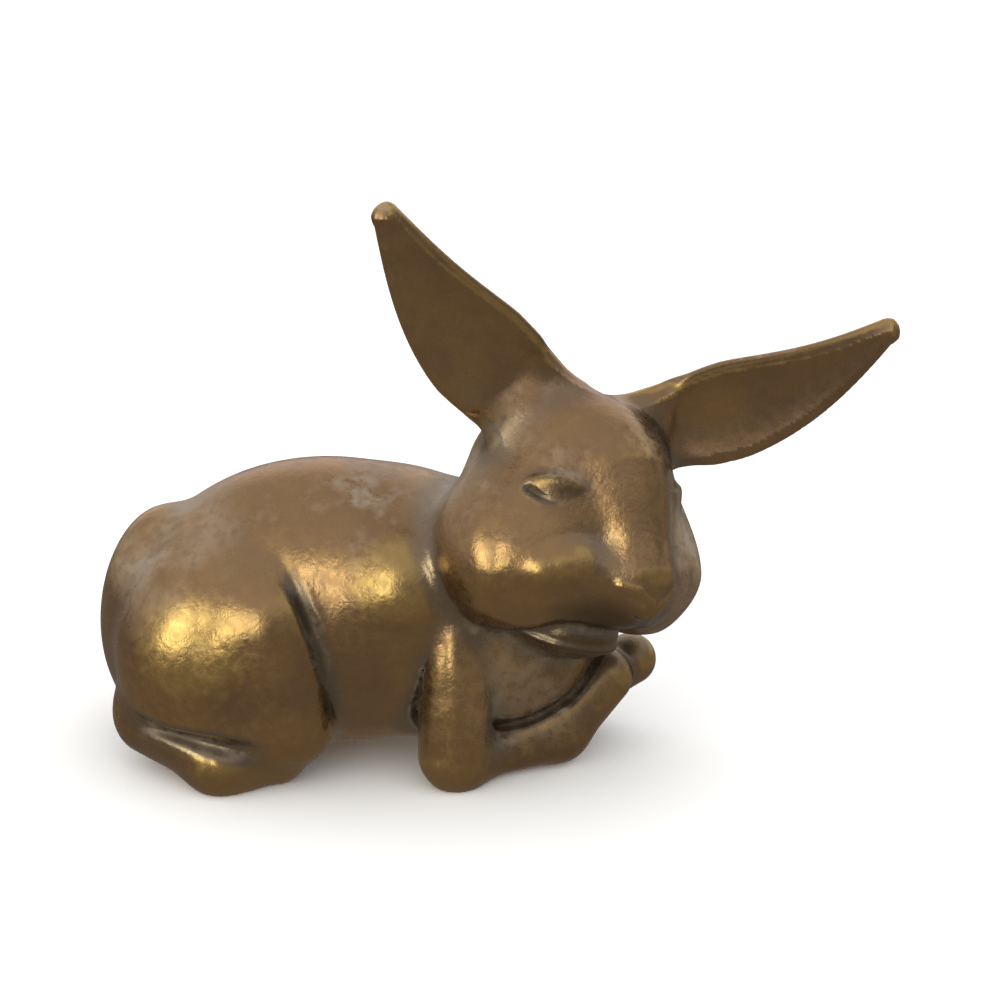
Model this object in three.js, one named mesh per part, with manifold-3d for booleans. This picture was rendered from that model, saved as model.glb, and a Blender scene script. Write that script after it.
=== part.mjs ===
import * as THREE from 'three';
import { mergeVertices } from 'three/addons/utils/BufferGeometryUtils.js';
import Module from 'manifold-3d';

// Brass rabbit ornament, lying down with its head turned to its right and its ears spread.
// It is put together from solid castings held by brass dowels, and the joint lines lie in
// the creases between them. Millimetres and degrees, X towards the head, Y to the rabbit's
// left, Z up. While modelling, the middle of the barrel is over the origin and the ground
// is at z = 0. Lengths run along X, widths along Y and heights along Z of each swelling.

// Torso: barrel with the ribs swelling its front, the rump behind it, the chest in front and
// the neck rising to the head
const BARREL_LENGTH = 53;
const BARREL_WIDTH = 34.8;
const BARREL_HEIGHT = 40;
const BELLY_LIFT = 0.8;
const RIBS_LENGTH = 26;
const RIBS_WIDTH = 35.2;
const RIBS_HEIGHT = 27;
const RIBS_AHEAD = 6.6;
const RIBS_BELOW_BACK = 1.8;
const RUMP_LENGTH = 27.6;
const RUMP_WIDTH = 37;
const RUMP_HEIGHT = 28.6;
const RUMP_LIFT = 1.7;
const RUMP_OVERHANG = 2;
const CHEST_LENGTH = 31;
const CHEST_WIDTH = 26.4;
const CHEST_HEIGHT = 33;
const CHEST_LIFT = 0.8;
const CHEST_OVERHANG = 10.5;
const NECK_BASE_HEIGHT = 24;
const NECK_BASE_DIAMETER = 23;
const NECK_TOP_DIAMETER = 20;

// Head: its centre from the barrel's front end and back, how it is turned, and how far its
// face is drawn over to its left for each millimetre forward
const HEAD_REACH = 7;
const HEAD_TO_RIGHT = 5.5;
const HEAD_BELOW_BACK = 5.8;
const HEAD_TURN = -54;
const HEAD_NOD = -4;
const HEAD_TILT = 15;
const FACE_SKEW = 0.14;

// Swellings of the head, along its own forward, left and up from its centre
const SKULL_LENGTH = 28;
const SKULL_WIDTH = 26.4;
const SKULL_HEIGHT = 26.8;
const SKULL_BACK = 2;
const SKULL_RAISE = 4;
const CHEEK_LENGTH = 22;
const CHEEK_WIDTH = 17;
const CHEEK_HEIGHT = 19.8;
const CHEEK_AHEAD = 1;
const CHEEK_ASIDE = 10.4;
const CHEEK_BELOW = 5.2;
const MUZZLE_LENGTH = 18.4;
const MUZZLE_WIDTH = 20;
const MUZZLE_HEIGHT = 13;
const MUZZLE_AHEAD = 7.2;
const MUZZLE_BELOW = 5;
const PAD_LENGTH = 13;
const PAD_WIDTH = 12;
const PAD_HEIGHT = 8;
const PAD_ASIDE = 6.4;
const PAD_AHEAD_OF_MUZZLE = 2.4;
const PAD_ABOVE_MUZZLE = 0.8;
const BRIDGE_TOP_DIAMETER = 10.4;
const BRIDGE_TIP_DIAMETER = 8;
const BRIDGE_TOP_AHEAD = 5.2;
const BRIDGE_TOP_RAISE = 9.6;
const BRIDGE_TIP_AHEAD = 13.8;
const BRIDGE_TIP_BELOW = 1.8;
const NOSE_LENGTH = 5.4;
const NOSE_WIDTH = 5.4;
const NOSE_HEIGHT = 4.6;
const NOSE_BEYOND_BRIDGE = 1.6;
const NOSE_BELOW_BRIDGE = 2.8;
const CHIN_LENGTH = 13;
const CHIN_WIDTH = 13.6;
const CHIN_HEIGHT = 8.8;
const CHIN_BEHIND_MUZZLE = 0.8;
const CHIN_BELOW_MUZZLE = 6.8;
const EYELID_LENGTH = 7.2;
const EYELID_WIDTH = 7.6;
const EYELID_HEIGHT = 4.8;
const EYELID_OUTWARD = 47;
const EYELID_UPWARD = 11;
const EYELID_SINK = 2;

// Ears: leaf-shaped dished castings, alike but not the same, and set at different angles. The
// bow bends a leaf to its outer side and the droop sets its root over to that side.
const RIGHT_EAR = {
  length: 39.2, width: 14.9, rootWidth: 13.1, bow: 2.1, droop: 0,
  backward: 18.6, outward: 36.8, rake: 4, splay: 52, open: 0,
};
const LEFT_EAR = {
  length: 40.3, width: 14.3, rootWidth: 10, bow: 2.9, droop: 2.2,
  backward: 6.4, outward: 40.2, rake: -13.2, splay: 58.4, open: -21,
};
const EAR_TIP_DIAMETER = 3.4;
const EAR_WALL = 2;
const EAR_RIM_DIAMETER = 2.2;
const EAR_DISH_DEPTH = 2.6;
const EAR_DISH_START = 0.06;
const EAR_DISH_RUN_IN = 0.2;
const EAR_DISH_FADE_POWER = 0.7;
const EAR_BOW_POWER = 1.25;
const EAR_DROOP_POWER = 4;
const EAR_WIDEST_AT = 0.36;
const EAR_TAPER_POWER = 1.35;
const EAR_ROOT_BOSS_LENGTH = 9;
const EAR_ROOT_BOSS_WIDTH = 8.6;
const EAR_ROOT_BOSS_THICKNESS = 5.6;
const EAR_ROOT_SINK = 1;

// Forelegs: upper arm from the shoulder to the elbow, then the forearm folded in to the paw
const SHOULDER_LENGTH = 11;
const SHOULDER_WIDTH = 10;
const SHOULDER_DEPTH = 15;
const ARM_DIAMETER = 8;
const SHOULDER_BEHIND_CHEST = 3.9;
const SHOULDER_TUCK = 1;
const SHOULDER_HEIGHT = 26;
const ELBOW_DIAMETER = 9;
const ELBOW_BACK = 0.1;
const ELBOW_OUT = 0.7;
const PAW_TAPER = 1.6;

// Wrists from the elbows, then the tips of the paws from the wrists
const RIGHT_PAW = {
  diameter: 9.8, reach: 13.1, inward: 8.7, raise: 0.9, tipReach: 4.6, tipInward: 3.6, tipRaise: 4,
};
const LEFT_PAW = {
  diameter: 8.6, reach: 17.9, inward: 7.7, raise: 3.9, tipReach: 4.9, tipInward: 1.9, tipRaise: 3.6,
};

// Hind legs: haunch, knee and shank over a long foot that lies on the ground, its heel raised
const HAUNCH_LENGTH = 29;
const HAUNCH_WIDTH = 19.4;
const HAUNCH_HEIGHT = 29.2;
const HAUNCH_LIFT = 2;
const HAUNCH_AHEAD_OF_RUMP = 2.2;
const HAUNCH_TUCK = 6.9;
const KNEE_TOP_DIAMETER = 13;
const KNEE_TOP_AHEAD = 5.8;
const KNEE_TOP_RAISE = 6.4;
const KNEE_FOOT_DIAMETER = 14.4;
const KNEE_FOOT_AHEAD = 7.6;
const KNEE_FOOT_DROP = 7.2;
const KNEE_OUT = 2.3;
const SHANK_LENGTH = 23;
const SHANK_WIDTH = 14.6;
const SHANK_HEIGHT = 12;
const SHANK_BACK = 1;
const SHANK_OUT = 1.4;
const SHANK_DROP = 8;
const HEEL_DIAMETER = 11;
const HEEL_BACK = 11;
const HEEL_INWARD = 1.9;
const HEEL_RAISE = 1.9;
const INSTEP_DIAMETER = 9.2;
const INSTEP_BACK = 0.8;
const INSTEP_OUT = 5;
const TOE_DIAMETER = 7.4;
const TOE_AHEAD = 6.4;
const TOE_OUT = 2.6;

// Tail: a flat scut pressed up against the rump
const TAIL_THICKNESS = 17.2;
const TAIL_WIDTH = 19;
const TAIL_LENGTH = 30.6;
const TAIL_LEAN = -6;
const TAIL_BEHIND_RUMP = 8.8;
const TAIL_ABOVE_RUMP = 2.6;

// Fitting: how the castings meet, stand and are pinned together
const JOINT_GAP = 0.6;
const JOINT_EDGE_ROUND = 1;
const HEAD_FILLET = 3;
const EAR_FILLET = 3;
const FORELEG_FILLET = 1.2;
const HIND_LEG_FILLET = 4;
const TAIL_FILLET = 2.5;
const SOFT_BLEND = 6;
const MIDDLE_BLEND = 4;
const FIRM_BLEND = 3;
const CRISP_BLEND = 1.5;
const SOLE_CUT = 0.4;
const DOWEL_CLEARANCE = 0.3;
const DOWEL_CHAMFER = 0.4;
const DOWEL_SIDES = 12;
const NECK_DOWEL_DIAMETER = 5;
const NECK_DOWEL_LENGTH = 16;
const EAR_DOWEL_DIAMETER = 1.8;
const EAR_DOWEL_LENGTH = 6;
const SHOULDER_DOWEL_DIAMETER = 2.6;
const SHOULDER_DOWEL_LENGTH = 8;
const HIP_DOWEL_DIAMETER = 3;
const HIP_DOWEL_LENGTH = 10;
const TAIL_DOWEL_DIAMETER = 3;
const TAIL_DOWEL_LENGTH = 8;

// Facet sizes of the castings
const TORSO_FACET = 2.8;
const HEAD_FACET = 2.3;
const EAR_FACET_ALONG = 2.3;
const EAR_FACET_ACROSS = 1.5;
const EAR_FACET_THROUGH = 1;
const LEG_FACET = 2.1;
const HAUNCH_FACET = 2.5;
const TAIL_FACET = 2.5;

const BRASS = { color: 0x86673f, roughness: 0.38, metalness: 0.9 };
const DOWEL_BRASS = { color: 0xb08a4a, roughness: 0.3, metalness: 1 };

const wasm = await Module();
wasm.setup();
const { clamp, degToRad, lerp, smoothstep } = THREE.MathUtils;
const vec = (x, y, z) => new THREE.Vector3(x, y, z);

// Clay forms. Each gives a point's distance to its surface, below 0 inside, and a box round it.

function ellipsoid(centre, size) {
  const half = size.clone().multiplyScalar(0.5);
  const least = Math.min(half.x, half.y, half.z);
  const distance = (p) => {
    const ax = (p.x - centre.x) / half.x;
    const ay = (p.y - centre.y) / half.y;
    const az = (p.z - centre.z) / half.z;
    const away = Math.hypot(ax, ay, az);
    const slope = Math.hypot(ax / half.x, ay / half.y, az / half.z);
    return slope > 0 ? (away * (away - 1)) / slope : -least;
  };
  return { distance, box: new THREE.Box3().setFromCenterAndSize(centre, size) };
}

function limb(start, end, startDiameter, endDiameter) {
  const run = end.clone().sub(start);
  const runSquared = run.lengthSq();
  const offset = vec();
  const distance = (p) => {
    offset.subVectors(p, start);
    const along = clamp(offset.dot(run) / runSquared, 0, 1);
    const radius = lerp(startDiameter, endDiameter, along) / 2;
    return offset.addScaledVector(run, -along).length() - radius;
  };
  const box = new THREE.Box3().setFromPoints([start, end]);
  return { distance, box: box.expandByScalar(Math.max(startDiameter, endDiameter) / 2) };
}

// Smaller of two distances, rounded where they come within reach of each other
function softMin(a, b, reach) {
  const overlap = Math.max(reach - Math.abs(a - b), 0);
  return Math.min(a, b) - (overlap * overlap) / (4 * reach);
}

function blend(reach, first, ...rest) {
  const distance = (p) => {
    let least = first.distance(p);
    for (const form of rest) least = softMin(least, form.distance(p), reach);
    return least;
  };
  const box = first.box.clone();
  rest.forEach((form) => box.union(form.box));
  return { distance, box: box.expandByScalar(reach / 4) };
}

// A form on the left side and its mirror image on the right
function mirrored(form) {
  const folded = vec();
  const distance = (p) => form.distance(folded.set(p.x, Math.abs(p.y), p.z));
  const mirror = new THREE.Matrix4().makeScale(1, -1, 1);
  return { distance, box: form.box.clone().union(form.box.clone().applyMatrix4(mirror)) };
}

// A form made in its own axes, put in its place by a matrix
function placed(matrix, form) {
  const back = matrix.clone().invert();
  const local = vec();
  const distance = (p) => form.distance(local.copy(p).applyMatrix4(back));
  return { distance, box: form.box.clone().applyMatrix4(matrix) };
}

// Turned to its left by turn, nose up by nod, top to its left by tilt
function pose(at, turn, nod, tilt) {
  const angles = new THREE.Euler(-degToRad(tilt), -degToRad(nod), degToRad(turn), 'ZYX');
  return new THREE.Matrix4().makeRotationFromEuler(angles).setPosition(at);
}

// Torso

const backHeight = BELLY_LIFT + BARREL_HEIGHT;
const barrelEnd = BARREL_LENGTH / 2;
const rumpCentre = vec(
  RUMP_LENGTH / 2 - RUMP_OVERHANG - barrelEnd, 0, RUMP_LIFT + RUMP_HEIGHT / 2);
const chestCentre = vec(
  barrelEnd + CHEST_OVERHANG - CHEST_LENGTH / 2, 0, CHEST_LIFT + CHEST_HEIGHT / 2);
const neckBase = vec(chestCentre.x, 0, NECK_BASE_HEIGHT);
const headCentre = vec(barrelEnd + HEAD_REACH, -HEAD_TO_RIGHT, backHeight - HEAD_BELOW_BACK);

function torsoForm() {
  const barrelCentre = vec(0, 0, BELLY_LIFT + BARREL_HEIGHT / 2);
  const barrel = ellipsoid(barrelCentre, vec(BARREL_LENGTH, BARREL_WIDTH, BARREL_HEIGHT));
  const ribsCentre = vec(RIBS_AHEAD, 0, backHeight - RIBS_BELOW_BACK - RIBS_HEIGHT / 2);
  const ribs = ellipsoid(ribsCentre, vec(RIBS_LENGTH, RIBS_WIDTH, RIBS_HEIGHT));
  const rump = ellipsoid(rumpCentre, vec(RUMP_LENGTH, RUMP_WIDTH, RUMP_HEIGHT));
  const chest = ellipsoid(chestCentre, vec(CHEST_LENGTH, CHEST_WIDTH, CHEST_HEIGHT));
  const neck = limb(neckBase, headCentre, NECK_BASE_DIAMETER, NECK_TOP_DIAMETER);
  const trunk = blend(MIDDLE_BLEND, blend(SOFT_BLEND, barrel, rump), ribs);
  return blend(SOFT_BLEND, trunk, chest, neck);
}

// Head

const headPose = pose(headCentre, HEAD_TURN, HEAD_NOD, HEAD_TILT);
const skullCentre = vec(-SKULL_BACK, 0, SKULL_RAISE);
const skullSize = vec(SKULL_LENGTH, SKULL_WIDTH, SKULL_HEIGHT);

// Point of the skull's surface seen from its centre, sunk below it by a depth
function onSkull(direction, sink) {
  const half = skullSize.clone().multiplyScalar(0.5);
  const reach = 1 / direction.clone().divide(half).length();
  return skullCentre.clone().addScaledVector(direction, reach - sink);
}

function headForm() {
  const skull = ellipsoid(skullCentre, skullSize);
  const cheeks = mirrored(ellipsoid(
    vec(CHEEK_AHEAD, CHEEK_ASIDE, -CHEEK_BELOW), vec(CHEEK_LENGTH, CHEEK_WIDTH, CHEEK_HEIGHT)));
  const muzzle = ellipsoid(
    vec(MUZZLE_AHEAD, 0, -MUZZLE_BELOW), vec(MUZZLE_LENGTH, MUZZLE_WIDTH, MUZZLE_HEIGHT));
  const bridgeTip = vec(BRIDGE_TIP_AHEAD, 0, -BRIDGE_TIP_BELOW);
  const bridge = limb(
    vec(BRIDGE_TOP_AHEAD, 0, BRIDGE_TOP_RAISE), bridgeTip, BRIDGE_TOP_DIAMETER, BRIDGE_TIP_DIAMETER);
  const pads = mirrored(ellipsoid(
    vec(MUZZLE_AHEAD + PAD_AHEAD_OF_MUZZLE, PAD_ASIDE, PAD_ABOVE_MUZZLE - MUZZLE_BELOW),
    vec(PAD_LENGTH, PAD_WIDTH, PAD_HEIGHT)));
  const nose = ellipsoid(
    bridgeTip.clone().add(vec(NOSE_BEYOND_BRIDGE, 0, -NOSE_BELOW_BRIDGE)),
    vec(NOSE_LENGTH, NOSE_WIDTH, NOSE_HEIGHT));
  const chin = ellipsoid(
    vec(MUZZLE_AHEAD - CHIN_BEHIND_MUZZLE, 0, -MUZZLE_BELOW - CHIN_BELOW_MUZZLE),
    vec(CHIN_LENGTH, CHIN_WIDTH, CHIN_HEIGHT));
  const lidDirection = vec(1, 0, 0)
    .applyEuler(new THREE.Euler(0, -degToRad(EYELID_UPWARD), degToRad(EYELID_OUTWARD), 'ZYX'));
  const eyelids = mirrored(ellipsoid(
    onSkull(lidDirection, EYELID_SINK), vec(EYELID_LENGTH, EYELID_WIDTH, EYELID_HEIGHT)));
  const snout = blend(MIDDLE_BLEND, blend(SOFT_BLEND, skull, cheeks), muzzle);
  const face = blend(FIRM_BLEND, snout, pads, bridge);
  const skew = new THREE.Matrix4().makeShear(FACE_SKEW, 0, 0, 0, 0, 0);
  return placed(skew, blend(CRISP_BLEND, face, nose, chin, eyelids));
}

// Ears

// The ear's own axes: X from root to tip, Y across the leaf, Z out of the dish
function earPose(set, side) {
  const rootDirection = vec(-Math.tan(degToRad(set.backward)), side * Math.tan(degToRad(set.outward)), 1);
  const root = onSkull(rootDirection.normalize(), EAR_ROOT_SINK);
  const rake = degToRad(set.rake);
  const splay = degToRad(set.splay);
  const along = vec(
    -Math.sin(rake), side * Math.cos(rake) * Math.sin(splay), Math.cos(rake) * Math.cos(splay));
  const facing = vec(1, side * Math.tan(degToRad(set.open)), 0);
  facing.addScaledVector(along, -facing.dot(along)).normalize();
  const across = facing.clone().cross(along);
  const local = new THREE.Matrix4().makeBasis(along, across, facing).setPosition(root);
  return headPose.clone().multiply(local);
}

// Half the leaf's width at a share of the way from the root to the tip
function leafReach(ear, along) {
  const widest = ear.width / 2;
  if (along < EAR_WIDEST_AT) {
    const rise = Math.sin((along / EAR_WIDEST_AT) * (Math.PI / 2));
    return lerp(ear.rootWidth / 2, widest, rise);
  }
  const taper = (along - EAR_WIDEST_AT) / (1 - EAR_WIDEST_AT);
  return lerp(widest, EAR_TIP_DIAMETER / 2, taper ** EAR_TAPER_POWER);
}

// Depth of the dish at that share: it opens soon after the root and fades out at the tip
function dishDepth(along) {
  const opening = smoothstep(along, EAR_DISH_START, EAR_DISH_START + EAR_DISH_RUN_IN);
  return EAR_DISH_DEPTH * opening * Math.max(Math.cos((along * Math.PI) / 2), 0) ** EAR_DISH_FADE_POWER;
}

function earForm(ear, side) {
  const tipCentre = ear.length - EAR_TIP_DIAMETER / 2;
  const rim = EAR_RIM_DIAMETER / 2;
  const distance = (p) => {
    const along = clamp(p.x / tipCentre, 0, 1);
    const reach = leafReach(ear, along);
    const bowed = ear.bow * Math.sin(Math.PI * along ** EAR_BOW_POWER);
    const drooped = ear.droop * (1 - along) ** EAR_DROOP_POWER;
    const sideways = p.y + side * (bowed + drooped);
    const across = clamp(sideways / reach, -1, 1);
    const height = p.z - dishDepth(along) * (across * across - 1 / 2);
    const pastEdge = Math.abs(sideways) - (reach - rim);
    const pastTip = Math.max(p.x - tipCentre, 0);
    const pastRoot = -p.x - rim;
    const bead = Math.max(Math.hypot(Math.max(pastEdge, 0), height, pastTip) - rim, pastRoot);
    const plate = Math.max(Math.abs(height) - EAR_WALL / 2, pastEdge, pastTip, pastRoot);
    return softMin(plate, bead, rim);
  };
  const leafHalf = vec(0, ear.width / 2 + ear.bow + ear.droop, EAR_DISH_DEPTH + rim);
  const box = new THREE.Box3(vec(-rim, 0, 0).sub(leafHalf), vec(ear.length, 0, 0).add(leafHalf));
  const boss = ellipsoid(
    vec(0, 0, 0), vec(EAR_ROOT_BOSS_LENGTH, EAR_ROOT_BOSS_WIDTH, EAR_ROOT_BOSS_THICKNESS));
  return blend(MIDDLE_BLEND, { distance, box }, boss);
}

// Legs and tail, side 1 for the rabbit's left and -1 for its right

function shoulderPoint(side) {
  const aside = side * (CHEST_WIDTH / 2 - SHOULDER_TUCK);
  return vec(chestCentre.x - SHOULDER_BEHIND_CHEST, aside, SHOULDER_HEIGHT);
}

function elbowPoint(side) {
  const aside = side * (CHEST_WIDTH / 2 + ELBOW_OUT);
  return vec(shoulderPoint(side).x - ELBOW_BACK, aside, ELBOW_DIAMETER / 2 - SOLE_CUT);
}

function forelegForm(side, paw) {
  const elbow = elbowPoint(side);
  const wrist = elbow.clone().add(vec(paw.reach, -side * paw.inward, paw.raise));
  const pawTip = wrist.clone().add(vec(paw.tipReach, -side * paw.tipInward, paw.tipRaise));
  const shoulderSize = vec(SHOULDER_LENGTH, SHOULDER_WIDTH, SHOULDER_DEPTH);
  const shoulder = ellipsoid(shoulderPoint(side), shoulderSize);
  const upperArm = limb(shoulderPoint(side), elbow, ARM_DIAMETER, ELBOW_DIAMETER);
  const forearm = limb(elbow, wrist, ELBOW_DIAMETER, paw.diameter);
  const hand = limb(wrist, pawTip, paw.diameter, paw.diameter - PAW_TAPER);
  return blend(CRISP_BLEND, blend(FIRM_BLEND, shoulder, upperArm), forearm, hand);
}

const haunchCentre = (side) => vec(
  rumpCentre.x + HAUNCH_AHEAD_OF_RUMP,
  side * (RUMP_WIDTH / 2 - HAUNCH_TUCK),
  HAUNCH_LIFT + HAUNCH_HEIGHT / 2);

function hindLegForm(side) {
  const centre = haunchCentre(side);
  const beside = (ahead, out, up) => centre.clone().add(vec(ahead, side * out, up));
  const haunch = ellipsoid(centre, vec(HAUNCH_LENGTH, HAUNCH_WIDTH, HAUNCH_HEIGHT));
  const knee = limb(
    beside(KNEE_TOP_AHEAD, KNEE_OUT, KNEE_TOP_RAISE), beside(KNEE_FOOT_AHEAD, KNEE_OUT, -KNEE_FOOT_DROP),
    KNEE_TOP_DIAMETER, KNEE_FOOT_DIAMETER);
  const shank = ellipsoid(
    beside(-SHANK_BACK, SHANK_OUT, -SHANK_DROP), vec(SHANK_LENGTH, SHANK_WIDTH, SHANK_HEIGHT));
  const onGround = (ahead, out, diameter) =>
    vec(centre.x + ahead, centre.y + side * out, diameter / 2 - SOLE_CUT);
  const heel = onGround(-HEEL_BACK, -HEEL_INWARD, HEEL_DIAMETER).add(vec(0, 0, HEEL_RAISE));
  const instep = onGround(-INSTEP_BACK, INSTEP_OUT, INSTEP_DIAMETER);
  const toe = onGround(TOE_AHEAD, TOE_OUT, TOE_DIAMETER);
  const foot = blend(
    MIDDLE_BLEND,
    limb(heel, instep, HEEL_DIAMETER, INSTEP_DIAMETER),
    limb(instep, toe, INSTEP_DIAMETER, TOE_DIAMETER));
  return blend(CRISP_BLEND, blend(FIRM_BLEND, blend(MIDDLE_BLEND, haunch, knee), shank), foot);
}

const tailCentre = rumpCentre.clone().add(vec(-TAIL_BEHIND_RUMP, 0, TAIL_ABOVE_RUMP));

const tailForm = () => placed(
  pose(tailCentre, 0, TAIL_LEAN, 0),
  ellipsoid(vec(0, 0, 0), vec(TAIL_THICKNESS, TAIL_WIDTH, TAIL_LENGTH)));

// The castings. Together they make one softly joined body, and each casting is the share of
// it that lies nearer to its own form than to any other, less half the gap at its joint faces.

const upright = new THREE.Matrix4();
const even = (facet) => vec(facet, facet, facet);
const earCell = vec(EAR_FACET_ALONG, EAR_FACET_ACROSS, EAR_FACET_THROUGH);
const casting = (shape, axes, cell, fillet) => ({ shape, axes, cell, fillet, form: placed(axes, shape) });
const castings = {
  torso: casting(torsoForm(), upright, even(TORSO_FACET), 0),
  head: casting(headForm(), headPose, even(HEAD_FACET), HEAD_FILLET),
  right_ear: casting(earForm(RIGHT_EAR, -1), earPose(RIGHT_EAR, -1), earCell, EAR_FILLET),
  left_ear: casting(earForm(LEFT_EAR, 1), earPose(LEFT_EAR, 1), earCell, EAR_FILLET),
  right_foreleg: casting(forelegForm(-1, RIGHT_PAW), upright, even(LEG_FACET), FORELEG_FILLET),
  left_foreleg: casting(forelegForm(1, LEFT_PAW), upright, even(LEG_FACET), FORELEG_FILLET),
  right_hind_leg: casting(hindLegForm(-1), upright, even(HAUNCH_FACET), HIND_LEG_FILLET),
  left_hind_leg: casting(hindLegForm(1), upright, even(HAUNCH_FACET), HIND_LEG_FILLET),
  tail: casting(tailForm(), upright, even(TAIL_FACET), TAIL_FILLET),
};

const parts = Object.values(castings);

function shareOf(own) {
  return (p) => {
    let whole = Infinity;
    let distance = Infinity;
    let nearest = Infinity;
    for (const part of parts) {
      const away = part.form.distance(p);
      whole = whole === Infinity ? away : softMin(whole, away, part.fillet);
      if (part === own) distance = away;
      else nearest = Math.min(nearest, away);
    }
    return -softMin(-whole, (nearest - distance - JOINT_GAP) / 2, JOINT_EDGE_ROUND);
  };
}

// The six faces of a grid cell as rings of its corners. Corner number = x + 2 y + 4 z, and
// an edge is named by the numbers of its two corners.
const CELL_FACES = [
  [0, 2, 6, 4], [1, 3, 7, 5], [0, 1, 5, 4], [2, 3, 7, 6], [0, 1, 3, 2], [4, 5, 7, 6],
];
const edgeName = (a, b) => Math.min(a, b) * 8 + Math.max(a, b);

// Edges of one cell that the surface crosses, sorted into the separate sheets they belong to
function sheetsOf(values) {
  const sheet = new Map();
  const join = (a, b) => {
    const from = sheet.get(a) ?? a;
    const to = sheet.get(b) ?? b;
    sheet.set(a, to);
    sheet.set(b, to);
    for (const [edge, group] of sheet) {
      if (group === from) sheet.set(edge, to);
    }
  };
  for (const ring of CELL_FACES) {
    const inside = ring.map((corner) => values[corner] < 0);
    const edges = ring.map((corner, i) => edgeName(corner, ring[(i + 1) % 4]));
    const crossed = edges.filter((edge, i) => inside[i] !== inside[(i + 1) % 4]);
    if (crossed.length === 2) join(crossed[0], crossed[1]);
    if (crossed.length === 4) {
      const middleInside = ring.reduce((sum, corner) => sum + values[corner], 0) < 0;
      ring.forEach((corner, i) => {
        if (inside[i] !== middleInside) join(edges[(i + 3) % 4], edges[i]);
      });
    }
  }
  return sheet;
}

// How points settle: the step that feels the slope, the flattest slope that is trusted, and
// the furthest move as a share of the smallest cell side
const SLOPE_STEP = 0.05;
const LEAST_SLOPE = 0.25;
const SETTLE_LIMIT = 0.5;
const AXIS_X = vec(1, 0, 0);
const AXIS_Y = vec(0, 1, 0);
const AXIS_Z = vec(0, 0, 1);

// Closed skin of a casting's share of the body, on a grid of cells along the casting's own
// axes: one point for each sheet in each cell, settled onto the surface, and a square of four
// points round each grid edge that the surface crosses
function skin(part) {
  const { shape, axes, cell, fillet } = part;
  const share = shareOf(part);
  const room = shape.box.clone().expandByScalar(fillet);
  const low = room.min.clone().divide(cell).floor().subScalar(1);
  const high = room.max.clone().divide(cell).ceil().addScalar(1);
  const [nx, ny, nz] = high.clone().sub(low).addScalar(1).toArray();
  const index = (x, y, z) => x + nx * (y + ny * z);
  const values = new Float32Array(nx * ny * nz);
  const at = (x, y, z) => vec(x, y, z).add(low).multiply(cell).applyMatrix4(axes);
  for (let z = 0; z < nz; z += 1) {
    for (let y = 0; y < ny; y += 1) {
      for (let x = 0; x < nx; x += 1) values[index(x, y, z)] = share(at(x, y, z));
    }
  }
  const most = SETTLE_LIMIT * Math.min(cell.x, cell.y, cell.z);
  const settle = (p) => {
    const here = share(p);
    const slope = (axis) => (share(p.clone().addScaledVector(axis, SLOPE_STEP)) - here) / SLOPE_STEP;
    const uphill = vec(slope(AXIS_X), slope(AXIS_Y), slope(AXIS_Z));
    const steep = Math.max(uphill.lengthSq(), LEAST_SLOPE);
    return p.add(uphill.multiplyScalar(-here / steep).clampLength(0, most));
  };
  const positions = [];
  const pointOf = new Map();
  const cornerOf = (x, y, z, corner) => [x + (corner & 1), y + ((corner >> 1) & 1), z + (corner >> 2)];
  const crossing = (x, y, z, edge) => {
    const [a, b] = [cornerOf(x, y, z, edge >> 3), cornerOf(x, y, z, edge & 7)];
    const [va, vb] = [values[index(...a)], values[index(...b)]];
    return at(...a).lerp(at(...b), va / (va - vb));
  };
  for (let z = 0; z < nz - 1; z += 1) {
    for (let y = 0; y < ny - 1; y += 1) {
      for (let x = 0; x < nx - 1; x += 1) {
        const corners = [0, 1, 2, 3, 4, 5, 6, 7].map((c) => values[index(...cornerOf(x, y, z, c))]);
        const inside = corners.filter((value) => value < 0).length;
        if (inside === 0 || inside === 8) continue;
        const sheet = sheetsOf(corners);
        const here = index(x, y, z);
        for (const group of new Set(sheet.values())) {
          const edges = [...sheet.keys()].filter((edge) => sheet.get(edge) === group);
          const middle = vec(0, 0, 0);
          edges.forEach((edge) => middle.add(crossing(x, y, z, edge)));
          middle.divideScalar(edges.length);
          settle(middle);
          edges.forEach((edge) => pointOf.set(here * 64 + edge, positions.length / 3));
          positions.push(...middle.toArray());
        }
      }
    }
  }
  const triangles = [];
  const point = (i) => vec().fromArray(positions, 3 * i);
  const addSquare = (a, b, c, d) => {
    const acrossAC = point(a).distanceToSquared(point(c));
    const acrossBD = point(b).distanceToSquared(point(d));
    if (acrossAC <= acrossBD) triangles.push(a, b, c, a, c, d);
    else triangles.push(b, c, d, b, d, a);
  };
  const step = [1, 2, 4];
  for (let axis = 0; axis < 3; axis += 1) {
    const [u, v] = [(axis + 1) % 3, (axis + 2) % 3];
    const around = [[1, 1], [0, 1], [0, 0], [1, 0]];
    for (let z = 1; z < nz - 1; z += 1) {
      for (let y = 1; y < ny - 1; y += 1) {
        for (let x = 1; x < nx - 1; x += 1) {
          const next = [x, y, z];
          next[axis] += 1;
          const startInside = values[index(x, y, z)] < 0;
          if (startInside === values[index(...next)] < 0) continue;
          const ring = around.map(([du, dv]) => {
            const beside = [x, y, z];
            beside[u] -= du;
            beside[v] -= dv;
            const corner = du * step[u] + dv * step[v];
            return pointOf.get(index(...beside) * 64 + edgeName(corner, corner + step[axis]));
          });
          addSquare(...(startInside ? ring : ring.reverse()));
        }
      }
    }
  }
  const geometry = new THREE.BufferGeometry();
  geometry.setAttribute('position', new THREE.Float32BufferAttribute(positions, 3));
  geometry.setIndex(triangles);
  return geometry;
}

// Cuts and joins

const SAME_POINT = 1e-4;

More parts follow.
